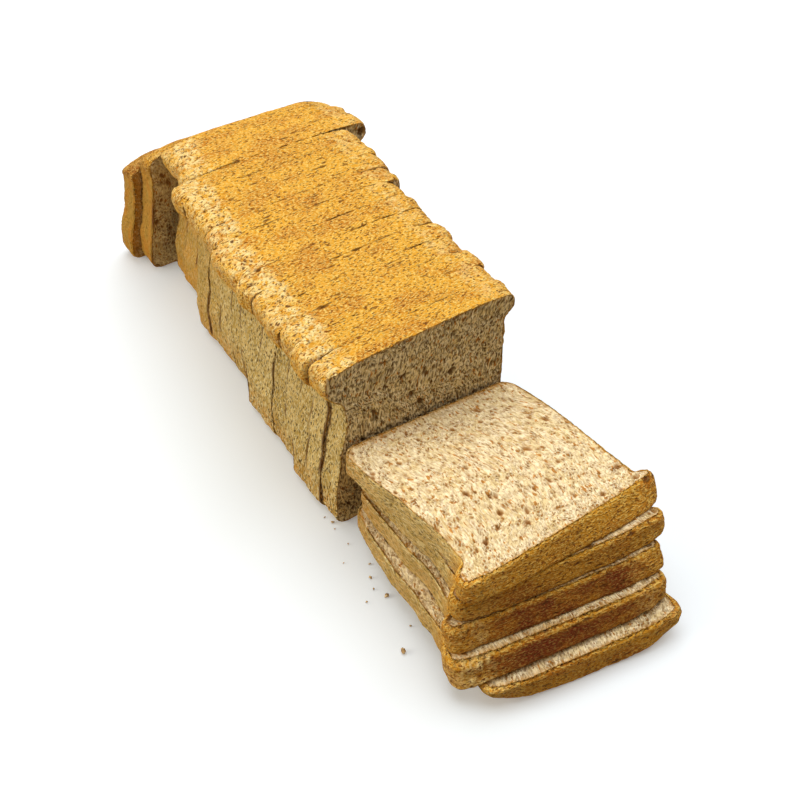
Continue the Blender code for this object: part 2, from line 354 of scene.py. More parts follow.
def standing(place, after):
    """How a slice of the row is put in place: its back touches the slice after it, if one does."""
    lean = math.atan(place.foot_back / SLICE_HEIGHT)

    def put(u, v, part):
        up = v / SLICE_HEIGHT
        x = u + place.top_side * up + place.foot_side * (1.0 - up)
        front = front_face(place, x, v)
        back = front + SLICE_THICKNESS / math.cos(lean)
        if after:
            back = front_face(after, x, v) - CUT_WIDTH
        y = front + part * (back - front)
        z = v * math.cos(lean) + part * SLICE_THICKNESS * math.sin(lean)
        z = z - place.fall * part ** 2 * up ** FALL_POWER
        if after:
            z = z + (place.lower - after.lower) * part * up ** DROOP_POWER
        return np.stack([x, y, z], axis=-1)

    return put


def pile_level(index, x, y):
    """Height of the gap under the first index slices of the pile."""
    along = np.maximum((-y - PILE_BACK_START) / SLICE_HEIGHT, 0.0)
    warped = np.minimum(along / HUMP_LENGTH, 1.0) ** HUMP_POWER
    hump = PILE_HUMP * (1.0 - (2.0 * warped - 1.0) ** 2) ** 2
    lift = (PILE_BACK_LIFT + PILE_BACK_TWIST * x) * (1.0 - np.minimum(along, 1.0)) ** 2
    level = PILE_BACK_TOP + PILE_RISE * along + hump + PILE_LEAN * x + lift - PILE_STEP * index
    if index >= HANGING_FROM:
        hang = np.maximum(-x - HANG_START, 0.0) / HANG_REACH
        along = np.clip(-y / SLICE_HEIGHT, 0.0, 1.0)
        level = level - (index - HANGING_FROM + 1) * HANG_DEPTH * hang ** 2 * along
    if index == len(PILE) - 1:
        level = 0.5 * (level + np.sqrt(level ** 2 + FLOOR_SOFTNESS))
    return level


def lying(fallen, u, v, part):
    """Place on the table of a point of a toppled slice, its crust end to the front."""
    turn = math.radians(fallen.turn)
    crust_end = np.maximum((v - CRUST_END) / (SLICE_HEIGHT - CRUST_END), 0.0) ** 2
    across = np.clip((u / EAR_REACH + 1.0) / 2.0, 0.0, 1.0)
    back = fallen.back_left + (fallen.back_right - fallen.back_left) * across
    fore = fallen.fore_left + (fallen.fore_right - fallen.fore_left) * across
    u = u + fallen.skew * v
    x = fallen.across + u * math.cos(turn) + v * math.sin(turn)
    y = fallen.forward + u * math.sin(turn) - v * math.cos(turn)
    return x, y + crust_end * (back * part - fore * (1.0 - part))


def toppled(index):
    """How a toppled slice is put in place, bent over those below it."""

    def put(u, v, part):
        x, y = lying(PILE[index], u, v, part)
        high = pile_level(index, x, y) - 0.5 * PILE_GAP
        low = pile_level(index + 1, x, y) + 0.5 * PILE_GAP
        return np.stack([x, y, low + (high - low) * part], axis=-1)

    return put


def toppled_heel(u, v, part):
    """How the heel lies: cut face up, curved crust face on the table."""
    x, y = lying(PILE[-1], u, v, part)
    curl = np.where(u < 0.0, HEEL_CURL_LEFT, HEEL_CURL_RIGHT)
    high = np.minimum(pile_level(len(PILE) - 1, x, y) - HEEL_CLEARANCE, HEEL_FLAT_TOP)
    low = np.minimum(curl * (np.abs(u) / EAR_REACH) ** CURL_POWER, high - HEEL_EDGE)
    return np.stack([x, y, low + (high - low) * part], axis=-1)


# The relief of the crust

# Where each part of the crust fades in: where it starts and where it is full, in mm. The top is
# measured down from a slice's highest place, and the rest up from its base or out from its middle
TOP_DOWN = (16.0, 8.0)
EAR_UP = (80.0, 92.0)
EAR_OUT = (43.0, 51.0)
WALL_DOWN = (96.0, 84.0)
WALL_UP = (0.5, 6.0)

# Humps all over, the lumps of the ears, and the upright wrinkles of the walls
CRUST_HUMPS = (Humps(0.32, 11.0, 3), Humps(0.16, 2.3, 4), Humps(0.16, (2.6, 1.6, 1.4), 5))
EAR_HUMPS = (Humps(0.75, (8.0, 8.0, 6.0), 6), Humps(0.3, (3.0, 3.0, 2.2), 7))
WALL_HUMPS = (Humps(0.35, (20.0, 22.0, 4.0), 8), Humps(0.22, (20.0, 6.0, 1.7), 9))

# The ear of each slice bulges between its cuts
EAR_BULGE = 0.8
BULGE_POWER = 4

# Slanting folds in the wall under each ear: where they are, how deep, wide and long, and their slant
FOLD_UP = (72.0, 80.0)
FOLD_DOWN = (93.0, 86.0)
FOLD_DEPTH = 0.5
FOLD_WIDTH = 2.6
FOLD_LENGTH = 9.0
FOLD_SLANT = 0.8

# Flour left in a wandering band along the ears, with less at the right and at the tip. It breaks up
# into flakes
FLOUR_OUT = (38.0, 43.0)
FLOUR_TIP = (57.0, 51.0)
TIP_SHARE = 0.5
RIGHT_SHARE = 0.3
FLOUR_WANDER = (Humps(2.5, 7.0, 61),)
FLAKES = (Humps(1.0, 2.6, 10), Humps(0.7, 1.5, 11))
FLAKE_DEPTH = 0.8
FLOUR_COVER = 0.65
FLOUR_BREAK = 1.1

# Pinholes all over, painted dark as shade in them and darker where there is flour, and dashes drawn out
# along the cuts of the top, painted dark as shade in them
PINHOLES = Pits((2.3, 2.0, 1.9), 0.5, 0.25, 0.6, 0.42, 0.7, 21)
FLOURED_DARK = 0.5
DASHES = Pits((7.0, 7.0, 1.7), 0.16, 0.25, 0.6, 0.45, 1.0, 31)

# Painted shade in the gaps of the cuts between slices, also sunk in as a shallow groove: how dark, how
# near to the cut it fades in, and from which noise on it shows. The noise makes stretches of some mm
# across and up, others at each cut
Cuts = namedtuple("Cuts", "dark near seen")
WALL_CUTS = Cuts(0.8, (2.3, 0.6), (-0.4, 0.5))
TOP_CUTS = Cuts(0.6, (1.0, 0.1), (0.2, 0.6))
CUT_STRETCH = (7.0, 13.0)
CUT_APART = 5.0
CUT_DEPTH = 0.2

# Cracks across the ears and the top: how many slices from the front, from and to which place
# across, half width and depth. They wander a little, fade at their ends, stay off the walls and are
# painted dark as shade in them
CRACKS = (
    (1.0, -64.0, -49.0, 1.3, 2.4),
    (2.0, -64.0, -52.0, 0.8, 1.2),
    (5.4, -64.0, -50.0, 0.9, 1.6),
    (9.0, -64.0, -46.0, 0.7, 1.0),
    (12.0, -64.0, -12.0, 0.7, 1.2),
    (4.0, 22.0, 52.0, 0.4, 0.6),
    (6.0, 16.0, 60.0, 0.4, 0.7),
    (7.0, -10.0, 30.0, 0.3, 0.5),
)
CRACK_WANDER = (Humps(0.9, 5.0, 71),)
CRACK_UP = (84.0, 96.0)
CRACK_START = 1.0
CRACK_END = 3.0


def flour_band(u, grain, top, floury):
    """How much flour is left at each place."""
    side = np.abs(u) + humps(grain, FLOUR_WANDER)
    band = ramp(side, *FLOUR_OUT) * (TIP_SHARE + (1.0 - TIP_SHARE) * ramp(side, *FLOUR_TIP))
    return band * top * np.where(u < 0.0, 1.0, RIGHT_SHARE) * floury


def cut_gap_shade(u, v, grain, top, wall):
    """How dark the painted shade in the gaps of the cuts is, in stretches, on the walls and on the top
    crust.
    """
    joint = np.round(grain[:, 2] / SLICE_PITCH)
    to_cut = np.abs(grain[:, 2] - joint * SLICE_PITCH)
    seen = np.stack([u / CUT_STRETCH[0], v / CUT_STRETCH[1], CUT_APART * joint], axis=1)
    seen = soft_noise(seen, seed=13)
    gap_shade = 0.0
    for part, cuts in ((wall, WALL_CUTS), (top, TOP_CUTS)):
        gap_shade = gap_shade + cuts.dark * part * ramp(to_cut, *cuts.near) * ramp(seen, *cuts.seen)
    return gap_shade * (joint > 0) * (joint < len(ROW) + len(END_PAIR))


def crust_relief(u, v, grain, form, floury, on_rim):
    """How far the crust stands out, how dark its pits, cuts and cracks are painted as shade in them,
    and how much pale flour shows.
    """
    top = ramp(form.height - v, *TOP_DOWN)
    ear = ramp(v, *EAR_UP) * ramp(np.abs(u), *EAR_OUT)
    wall = ramp(v, *WALL_DOWN) * ramp(v, *WALL_UP)
    band = flour_band(u, grain, top, floury)
    through = np.mod(grain[:, 2] / SLICE_PITCH, 1.0)
    slanted = [(grain[:, 2] + FOLD_SLANT * v) / FOLD_WIDTH, grain[:, 2] / FOLD_LENGTH]
    folds = ramp(v, *FOLD_UP) * ramp(v, *FOLD_DOWN) * soft_noise(np.stack(slanted, axis=1), seed=12)
    flakes = humps(grain, FLAKES)
    relief = humps(grain, CRUST_HUMPS) + FOLD_DEPTH * folds + FLAKE_DEPTH * band * flakes
    relief += ear * (humps(grain, EAR_HUMPS) + EAR_BULGE * (1.0 - (2.0 * through - 1.0) ** BULGE_POWER))
    relief += wall * humps(grain, WALL_HUMPS)

    pinholes = pits(grain, PINHOLES)
    dashes = pits(grain, DASHES) * top * (1.0 - band)
    # Painted shade in the gaps of the cuts between slices, also sunk in as a shallow groove
    cut = on_rim * cut_gap_shade(u, v, grain, top, wall)
    relief -= PINHOLES.depth * pinholes + DASHES.depth * dashes + CUT_DEPTH * cut
    # Pits, dashes, cuts and cracks are painted darker, as shade in them
    sunk = np.maximum(pinholes * (PINHOLES.dark + FLOURED_DARK * band), DASHES.dark * dashes)
    sunk = np.maximum(sunk, cut)
    for order, start, end, width, depth in CRACKS:
        line = order * SLICE_PITCH + humps(grain[:, :1], CRACK_WANDER)
        groove = np.clip(1.0 - np.abs(grain[:, 2] - line) / width, 0.0, 1.0) * ramp(v, *CRACK_UP)
        groove *= ramp(u, start - CRACK_START, start + CRACK_START)
        groove *= ramp(u, end + CRACK_END, end - CRACK_END)
        relief -= depth * groove
        sunk = np.maximum(sunk, groove)
    flour = np.clip(band * (FLOUR_COVER + FLOUR_BREAK * flakes), 0.0, 1.0)
    return relief, sunk, flour


# The relief of the crumb

# The crumb's own grain is drawn upward, bows over the middle, and is swayed and pulled sideways: how
# far and over what length in mm
DRAWN_UP = 0.66
BOW = 6.0
BOW_LENGTH = 30.0
SWAY = 3.0
SWAY_LENGTH = 17.0
PULL_WIDTH = 15.0
PULL_ACROSS = 1.6
PULL_UP = 2.2

CRUMB_HUMPS = (Humps(0.30, 1.6, 4), Humps(0.25, 5.0, 5))
CRUMB_PITS = (
    Pits(1.7, 0.75, 0.2, 0.62, 0.5, 0.45, 1),
    Pits(3.4, 0.42, 0.15, 0.5, 0.8, 0.8, 2),
    Pits(9.0, 0.35, 0.14, 0.3, 1.3, 1.4, 3),
)

# The larger holes in the top slice of the pile: across, up, half width and depth. They are ragged,
# longer upward than across, steep at the edge and painted darker than the pits, as the shade deep in them
HOLES = (
    (-24.4, 64.8, 1.9, 1.6),
    (-16.0, 72.9, 1.6, 1.7),
    (-18.3, 83.9, 1.8, 1.3),
    (-10.5, 97.2, 1.9, 1.6),
    (-35.1, 95.2, 1.5, 1.2),
    (-20.0, 66.5, 1.1, 0.9),
)
HOLE_EDGE = (Humps(0.35, 1.6, 6),)
HOLE_LONGER = 0.8
HOLE_STEEP = 1.15
HOLE_DARK = 2.0


def crumb_flow(u, v, seed):
    """Where a place on a cut face lies in the crumb's own grain."""
    pull = soft_noise(np.stack([u, v], axis=1) / PULL_WIDTH, seed)
    across = u + SWAY * np.sin(v / SWAY_LENGTH + seed) + PULL_ACROSS * pull
    up = DRAWN_UP * v + BOW * np.cos(u / BOW_LENGTH) + PULL_UP * pull
    return np.stack([across, up], axis=1)


def crumb_relief(u, v, flow, seed, holes):
    """How far the cut crumb stands out, and how deep its open pits and holes are, to paint shade in them.
    """
    relief = humps(flow, CRUMB_HUMPS, seed)
    sunk = np.zeros(len(u))
    for layer in CRUMB_PITS:
        depth = pits(flow, layer, seed)
        relief -= layer.depth * depth
        sunk = np.maximum(sunk, layer.dark * depth)
    for across, up, reach, depth in holes:
        ragged = reach * (1.0 + humps(flow, HOLE_EDGE, seed))
        away = np.hypot(u - across, HOLE_LONGER * (v - up)) / ragged
        hole = np.clip(HOLE_STEEP - away, 0.0, 1.0)
        relief -= depth * hole
        sunk = np.maximum(sunk, HOLE_DARK * hole)
    return relief, sunk


# The skin of a slice

# Half widths to the left and right, height, and how low both shoulders hang
Form = namedtuple("Form", "left right height hangs")

# How round the edge of the crust is at a slice's top, walls and base, and how wide its brown rim
# shows on a cut face at the walls and at both ends
Rind = namedtuple("Rind", "top_edge wall_edge base_edge wall ends")
ROW_RIND = Rind(0.14, 0.42, 0.0, 0.9, 1.1)
PILE_RIND = Rind(1.8, 0.5, 1.2, 1.1, 3.0)
HEEL_RIND = Rind(1.0, 1.0, 0.6, 9.0, 4.0)

# How dark a slice's crust is baked, and on the pile painted in shade, how floury its ears are, how dark
# its walls are, and how deep in shade the pores of its crumb are painted
Look = namedtuple("Look", "bake floury tone shade")

# A piece of bread: its solid, its form, how it is put in place, its number in the loaf (below 0 in
# the pile), its noise's start, the fineness and the finish of its front (or lower) and back (or
# upper) face, its rind and look, and its large holes
Piece = namedtuple("Piece", "solid form put order seed fineness finish rind look holes", defaults=((),))

# The points round the rim are this far apart in mm, and this many stand through the slice
RIM_SPACING = 0.72
RIM_STEPS = 19

# A cut edge of the crust bends over in three steps, is chipped in places at the top, and is rounder
# at the top and the base than at the walls. The crust edge of a heel is rounded less at its thin ears
EDGE_BENDS = (0.0, math.radians(45.0), math.radians(90.0))
EDGE_TOP = (92.0, 106.0)
EDGE_BASE = (9.0, 2.0)
CHIP_WIDTH = 5.0
CHIP_DEPTH = 0.4
CHIPPED = (0.35, 0.9)
HEEL_ROUND = 1.6
THIN_EAR_LESS = 1.2
THIN_EAR_OUT = (46.0, 53.0)
THIN_EAR_UP = (52.0, 66.0)

# Where the relief of the crumb takes over inside the crust, and where the rind is as wide as at the
# ends
CRUMB_IN = (0.2, 2.0)
CRUMB_SEED = 500
RIND_TOP = (92.0, 108.0)
RIND_BASE = (14.0, 4.0)

# The darker baking and painted shade of a toppled slice's crust lessen toward both sides and along the
# upper edge of its crust
LEFT_BAKE = 0.45
LEFT_BAKE_OUT = (-58.0, -18.0)
RIGHT_BAKE = 0.5
RIGHT_BAKE_OUT = (60.0, 28.0)
UPPER_BAKE_LESS = 0.7
UPPER_BAKE = (0.75, 1.0)

# Steps over which the slope of a slice that is put in place is measured
SLOPE_STEP = 0.1
PART_STEP = 0.01

# How a cut face is filled with triangles: inside its border alone, points nearer than this are one
FILL_INSIDE = 1
MERGE_NEAR = 1e-6


def edge_widths(loop, rind, finish):
    """How wide the rounded edges toward both faces are round a slice."""
    u, v = loop[:, 0], loop[:, 1]
    upper = ramp(v, *EDGE_TOP)
    chipped = rind.top_edge + CHIP_DEPTH * ramp(soft_noise(loop / CHIP_WIDTH, seed=51), *CHIPPED)
    cut = rind.wall_edge * (1.0 - upper) + upper * chipped + rind.base_edge * ramp(v, *EDGE_BASE)
    crust = HEEL_ROUND - THIN_EAR_LESS * ramp(np.abs(u), *THIN_EAR_OUT) * ramp(v, *THIN_EAR_UP)
    return [cut if face == "crumb" else crust for face in finish]


def rim_rings(loop, outward, edges):
    """The rim of a slice as rings of points from face to face: where, how far through and facing."""
    first, last = (edge / SLICE_THICKNESS for edge in edges)
    rings = []
    for bend in EDGE_BENDS:
        over = 1.0 - math.sin(bend)
        rings.append((first * (1.0 - math.cos(bend)), edges[0] * over, -over))
    for step in np.linspace(0.0, 1.0, RIM_STEPS)[1:-1]:
        rings.append((first + step * (1.0 - last - first), 0.0 * first, 0.0))
    for bend in reversed(EDGE_BENDS):
        over = 1.0 - math.sin(bend)
        rings.append((1.0 - last * (1.0 - math.cos(bend)), edges[1] * over, over))
    flat = [loop - outward * inset[:, None] for _, inset, _ in rings]
    part = [through for through, _, _ in rings]
    facing = []
    for _, _, over in rings:
        sideways = outward * math.sqrt(1.0 - over ** 2)
        facing.append(np.column_stack([sideways, np.full(len(loop), over)]))
    return flat, part, facing


def rim_faces(count, rings):
    """Four-sided faces between the rings of a rim."""
    here = np.arange(count)
    there = (here + 1) % count
    band = np.column_stack([here, there, there + count, here + count])
    return [face for ring in range(rings - 1) for face in (ring * count + band).tolist()]


def cut_faces(border, inner, first_border, first_inner):
    """Triangles over a cut face, from its border to the points inside it."""
    count = len(border)
    here = np.arange(count)
    points = [Vector(point) for point in np.concatenate([border, inner])]
    edges = list(zip(here.tolist(), ((here + 1) % count).tolist()))
    filled = geometry.delaunay_2d_cdt(points, edges, [], FILL_INSIDE, MERGE_NEAR)
    places, triangles, origins = filled[0], filled[2], filled[3]
    source = []
    for place, found in zip(places, origins):
        nearest = np.argmin(np.sum((border - np.array(place)) ** 2, axis=1))
        source.append(found[0] if found else int(nearest))
    source = np.array(source)
    source = np.where(source < count, source + first_border, source - count + first_inner)
    made = source[np.array(triangles)]
    return made[(made != np.roll(made, 1, axis=1)).all(axis=1)]


def skin(piece):
    """A slice before it is put in place: where its points are, how far through and how they face,
    its faces, and how many points and faces its rim and first cut face have."""
    chance = np.random.default_rng(piece.seed)
    loop, outward = outline(piece.form)
    count = len(loop)
    flat, part, facing = rim_rings(loop, outward, edge_widths(loop, piece.rind, piece.finish))
    rings = len(flat)
    polygons = rim_faces(count, rings)
    face_starts = []
    start = rings * count
    for side, (near, far) in enumerate(piece.fineness):
        face_starts.append(len(polygons))
        border = side * (rings - 1)
        inner = scatter(piece.form, near, far, chance)
        made = cut_faces(flat[border], inner, border * count, start)
        polygons += (made if side else made[:, ::-1]).tolist()
        flat.append(inner)
        part.append(np.full(len(inner), float(side)))
        facing.append(np.tile([0.0, 0.0, 2.0 * side - 1.0], (len(inner), 1)))
        start += len(inner)
    points = np.concatenate(flat), np.concatenate(part), np.concatenate(facing)
    return points, polygons, rings * count, face_starts


def outward_slope(put, u, v, part, facing):
    """Which way each point of a slice that is put in place faces."""
    place = put(u, v, part)
    across = (put(u + SLOPE_STEP, v, part) - place) / SLOPE_STEP
    up = (put(u, v + SLOPE_STEP, part) - place) / SLOPE_STEP
    through = put(u, v, part + PART_STEP) - put(u, v, part - PART_STEP)
    through /= np.linalg.norm(through, axis=1)[:, None]
    slope = facing[:, :1] * across + facing[:, 1:2] * up + facing[:, 2:] * through
    return slope / np.linalg.norm(slope, axis=1)[:, None]


def baking_and_shade(u, part, piece):
    """How dark each place of a slice's crust is baked, and on a toppled slice painted in shade."""
    if piece.order >= 0:
        return np.full(len(u), piece.look.bake)
    left = LEFT_BAKE + (1.0 - LEFT_BAKE) * ramp(u, *LEFT_BAKE_OUT)
    right = RIGHT_BAKE + (1.0 - RIGHT_BAKE) * ramp(u, *RIGHT_BAKE_OUT)
    return piece.look.bake * left * right * (1.0 - UPPER_BAKE_LESS * ramp(part, *UPPER_BAKE))


def make_piece(piece):
    """One slice as a closed skin: crust round its rim, crumb on its cut faces."""
    form, finish, look, rind = piece.form, piece.finish, piece.look, piece.rind
    (flat, part, facing), polygons, rim_points, face_starts = skin(piece)
    u, v = flat[:, 0], flat[:, 1]
    grain = np.column_stack([u, v, (piece.order + part) * SLICE_PITCH])
    flow = crumb_flow(u, v, piece.seed + CRUMB_SEED)
    inside = np.maximum(inward(form, u, v), 0.0)
    on_rim = np.arange(len(u)) < rim_points
    crusty = on_rim | np.where(part > 0.5, finish[1] == "crust", finish[0] == "crust")

    relief, sunk, flour = crust_relief(u, v, grain, form, look.floury, on_rim)
    face_relief, face_sunk = crumb_relief(u, v, flow, piece.seed + CRUMB_SEED, piece.holes)
    crumby = np.where(crusty, 0.0, ramp(inside, *CRUMB_IN))
    relief = relief * (1.0 - crumby) + face_relief * crumby
    sunk = sunk * (1.0 - crumby) + face_sunk * crumby
    place = piece.put(u, v, part) + outward_slope(piece.put, u, v, part, facing) * relief[:, None]
    place[:, 2] = np.maximum(place[:, 2], 0.0)
    place[:, :2] -= CENTRE

    mesh = bpy.data.meshes.new(piece.solid + "_bread")
    mesh.from_pydata((place * MM).tolist(), [], polygons)
    mesh.shade_smooth()
    wide = np.maximum(ramp(v, *RIND_TOP), ramp(v, *RIND_BASE))
    rim = np.where(crusty, 0.0, inside / (rind.wall + (rind.ends - rind.wall) * wide))
    # The colours of a lower slice follow its own height, so its top is as golden as the others
    grain = grain * np.array([1.0, SLICE_HEIGHT / form.height, 1.0])
    flow = np.column_stack([flow, np.full(len(u), float(piece.seed))])
    keep(mesh, grain=grain, flow=flow, inward=rim, sunk=sunk, bake=baking_and_shade(u, part, piece))
    keep(mesh, shade=look.shade, tone=look.tone, flour=flour * (1.0 - crumby))
    mesh.materials.append(bpy.data.materials["oven_baked_whole_wheat_crust"])
    mesh.materials.append(bpy.data.materials["sliced_whole_wheat_crumb"])
    slots = np.zeros(len(polygons), np.int32)
    slots[face_starts[0]:face_starts[1]] = int(finish[0] == "crumb")
    slots[face_starts[1]:] = int(finish[1] == "crumb")
    mesh.polygons.foreach_set("material_index", slots)
    return show(mesh.name, mesh)


def keep(mesh, **kept):
    """Store values or vectors for each point of a mesh, for its material to read."""
    for key, values in kept.items():
        values = np.broadcast_to(values, (len(mesh.vertices), *np.shape(values)[1:]))
        kind, slot = ("FLOAT_VECTOR", "vector") if values.ndim == 2 else ("FLOAT", "value")
        mesh.attributes.new(key, kind, "POINT").data.foreach_set(slot, np.ravel(values))


def show(name, data):
    """Put a mesh, a lamp or a camera in the scene."""
    shown = bpy.data.objects.new(name, data)
    bpy.context.scene.collection.objects.link(shown)
    return shown


# Materials

# The sockets of a Map Range node: the value, where it starts and ends, and what it gives there
VALUE, START, END, AT_START, AT_END = 0, 1, 2, 3, 4
# The sockets of a Mix node: the share, two numbers, two colours and the mixed colour
COVER, FIRST, SECOND, UNDER, OVER, MIXED = 0, 2, 3, 6, 7, 2

# A pattern of flecks: the width of a fleck in mm, how many times longer it is drawn across, up and
# through the slices, where its noise starts, from which noise it begins and is full, how much of
# the colour below it covers, and its own colour
Flecks = namedtuple("Flecks", "width across up through start begin full cover colour")
FLECK_DETAIL = 3.0


def linear(code):
    """An sRGB hex colour as linear red, green, blue and alpha."""
    channels = [int(code[i:i + 2], 16) / 255.0 for i in (0, 2, 4)]
    values = [c / 12.92 if c <= 0.04045 else ((c + 0.055) / 1.055) ** 2.4 for c in channels]
    return (*values, 1.0)


def feed(tree, node, inputs):
    """Give a node the values of its sockets and the links into it."""
    for key, value in inputs.items():
        if isinstance(value, bpy.types.NodeSocket):
            tree.links.new(value, node.inputs[key])
        else:
            node.inputs[key].default_value = value


def add(tree, kind, inputs, **settings):
    """Add one node to a material, with its settings, its values and the links into it."""
    made = tree.nodes.new("ShaderNode" + kind)
    for key, value in settings.items():
        setattr(made, key, value)
    feed(tree, made, inputs)
    return made


def new_material(name):
    """A new material: the tree of its nodes and its shader."""
    material = bpy.data.materials.new(name)
    material.use_nodes = True
    tree = material.node_tree
    return tree, tree.nodes["Principled BSDF"]


def flecked(tree, place, flecks, colour, share):
    """Lay a pattern of flecks over a colour. Gives the new colour and the pattern's height."""
    drawn = (flecks.across, flecks.up, flecks.through)
    scale = [1.0 / (flecks.width * longer) for longer in drawn]
    moved = add(tree, "Mapping", {"Vector": place, "Location": (flecks.start,) * 3, "Scale": scale})
    noise = {"Vector": moved.outputs[0], "Scale": 1.0, "Detail": FLECK_DETAIL}
    height = add(tree, "TexNoise", noise).outputs[0]
    limits = {VALUE: height, START: flecks.begin, END: flecks.full, AT_END: flecks.cover}
    covered = add(tree, "MapRange", limits).outputs[0]
    covered = add(tree, "Math", {0: covered, 1: share}, operation="MULTIPLY").outputs[0]
    layers = {COVER: covered, UNDER: colour, OVER: linear(flecks.colour)}
    return add(tree, "Mix", layers, data_type="RGBA").outputs[MIXED], height


# Whole wheat crust. The walls were baked against the tin: pale, darker in some slices, and browner at
# the base, at the far end and where the loaf was baked through, which on the pile is partly painted
# shade. The top is golden, its pits, cuts and cracks painted brown as shade in them
WALL_PALE = "F6DA90"
WALL_DARKER = "CFAE5C"
WALL_BASE = "D8962C"
WALL_FAR = "D09426"
WALL_BAKED = "BE7C1E"
TOP_GOLDEN = "EBAC30"
HOLLOW_SHADE_BROWN = "60340C"

# On the top crust: soft browner clouds, flour and bran specks drawn out along the cuts, which are
# half a millimetre wide in real life and drawn twice as coarse to show
TOP_CLOUDS = Flecks(12.0, 1.8, 1.0, 1.0, 0.0, 0.44, 0.64, 0.75, "C87C1C")
TOP_FLOUR = Flecks(1.0, 1.8, 1.0, 0.8, 3.0, 0.48, 0.60, 0.75, "FDE282")
TOP_BRAN = Flecks(1.1, 1.6, 1.0, 0.8, 11.0, 0.58, 0.63, 0.9, "7C440A")
# On the walls: pale fibres and dark flecks drawn out upward, on soft clouds
WALL_CLOUDS = Flecks(7.0, 1.0, 2.5, 0.8, 7.0, 0.40, 0.60, 0.6, "BA9C48")
WALL_FIBRES = Flecks(0.9, 1.0, 4.0, 0.9, 17.0, 0.47, 0.60, 0.8, "FBEEB8")
WALL_FLECKS = Flecks(1.0, 1.0, 2.4, 0.9, 27.0, 0.57, 0.61, 0.9, "4E3C18")
# Patches on the pile, baked darker and partly painted shade, and flour left on the ears
DARK_BAKING_AND_SHADE = Flecks(12.0, 1.5, 1.0, 1.0, 41.0, 0.0, 0.60, 1.0, "7A3006")
EAR_FLOUR = Flecks(1.3, 1.3, 1.3, 1.0, 31.0, 0.38, 0.50, 1.0, "FFE8A4")

# Fades over the crust in mm, up a slice or back through the row, and into the painted shade of its pits
ON_TOP = {START: 86.0, END: 100.0}
ON_WALL = {START: 100.0, END: 88.0}
NEAR_BASE = {START: 2.0, END: 34.0, AT_START: 0.9, AT_END: 0.0}
FAR_BACK = {START: 130.0, END: 200.0, AT_END: 0.75}
FEWER_FLECKS = {START: 110.0, END: 190.0, AT_START: 1.0, AT_END: 0.3}
IN_PITS = {START: 0.15, END: 0.8, AT_END: 0.9}
# The shares of the baking and painted shade that wipe out the flour of the top and that brown the walls
BAKED_BARE = 0.75
BAKED_BROWN = 0.8

# Dry crust is starch, with an index near 1.5, and its pores leave it matt with a faint sheen
CRUST_SURFACE = {"Roughness": 0.75, "IOR": 1.45, "Specular IOR Level": 0.25}
CRUST_ROUGHNESS = 2.2


def oven_baked_crust():
    """Whole wheat crust baked in a tin: matt, golden on top, paler and khaki down its walls."""
    tree, surface = new_material("oven_baked_whole_wheat_crust")
    keys = ("grain", "sunk", "flour", "bake", "tone")
    kept = [add(tree, "Attribute", {}, attribute_name=key).outputs for key in keys]
    grain = kept[0]["Vector"]
    sunk, flour, bake, tone = (outputs["Fac"] for outputs in kept[1:])
    places = add(tree, "SeparateXYZ", {0: grain}).outputs
    up, through = places["Y"], places["Z"]
    on_top = add(tree, "MapRange", {VALUE: up, **ON_TOP}).outputs[0]
    on_wall = add(tree, "MapRange", {VALUE: up, **ON_WALL}).outputs[0]
    # The far slices and the darker baked and shaded ones show fewer flecks on their walls
    near = add(tree, "MapRange", {VALUE: through, **FEWER_FLECKS}).outputs[0]
    near = add(tree, "Math", {0: near, 1: bake}, operation="SUBTRACT", use_clamp=True).outputs[0]
    near_wall = add(tree, "Math", {0: on_wall, 1: near}, operation="MULTIPLY").outputs[0]
    # The darker baking of the top, on the pile partly painted shade
    baked_and_shaded = add(tree, "Math", {0: on_top, 1: bake}, operation="MULTIPLY").outputs[0]
    bare = add(tree, "Math", {0: baked_and_shaded, 1: BAKED_BARE}, operation="MULTIPLY").outputs[0]
    floury = add(tree, "Math", {0: on_top, 1: bare}, operation="SUBTRACT").outputs[0]

    low = add(tree, "MapRange", {VALUE: up, **NEAR_BASE}).outputs[0]
    far = add(tree, "MapRange", {VALUE: through, **FAR_BACK}).outputs[0]
    brown = add(tree, "Math", {0: bake, 1: BAKED_BROWN}, operation="MULTIPLY").outputs[0]
    colour = linear(WALL_PALE)
    browning = (
        (tone, WALL_DARKER), (low, WALL_BASE), (far, WALL_FAR), (brown, WALL_BAKED), (on_top, TOP_GOLDEN),
    )
    for share, over in browning:
        layers = {COVER: share, UNDER: colour, OVER: linear(over)}
        colour = add(tree, "Mix", layers, data_type="RGBA").outputs[MIXED]

    patterns = (
        (TOP_CLOUDS, on_top), (WALL_CLOUDS, on_wall), (DARK_BAKING_AND_SHADE, baked_and_shaded), (WALL_FIBRES, near_wall),
        (WALL_FLECKS, near_wall), (TOP_FLOUR, floury), (EAR_FLOUR, flour), (TOP_BRAN, on_top),
    )
    heights = {}
    for flecks, share in patterns:
        colour, heights[flecks] = flecked(tree, grain, flecks, colour, share)
    # Pits, cuts and cracks are painted brown, as shade in them
    pitted = add(tree, "MapRange", {VALUE: sunk, **IN_PITS}).outputs[0]
    layers = {COVER: pitted, UNDER: colour, OVER: linear(HOLLOW_SHADE_BROWN)}
    colour = add(tree, "Mix", layers, data_type="RGBA").outputs[MIXED]
    heights = {COVER: on_top, FIRST: heights[WALL_FIBRES], SECOND: heights[TOP_FLOUR]}
    height = add(tree, "Mix", heights, data_type="FLOAT").outputs[0]
    rough = add(tree, "Bump", {"Height": height, "Distance": CRUST_ROUGHNESS * MM}).outputs[0]
    feed(tree, surface, {"Base Color": colour, "Normal": rough, **CRUST_SURFACE})


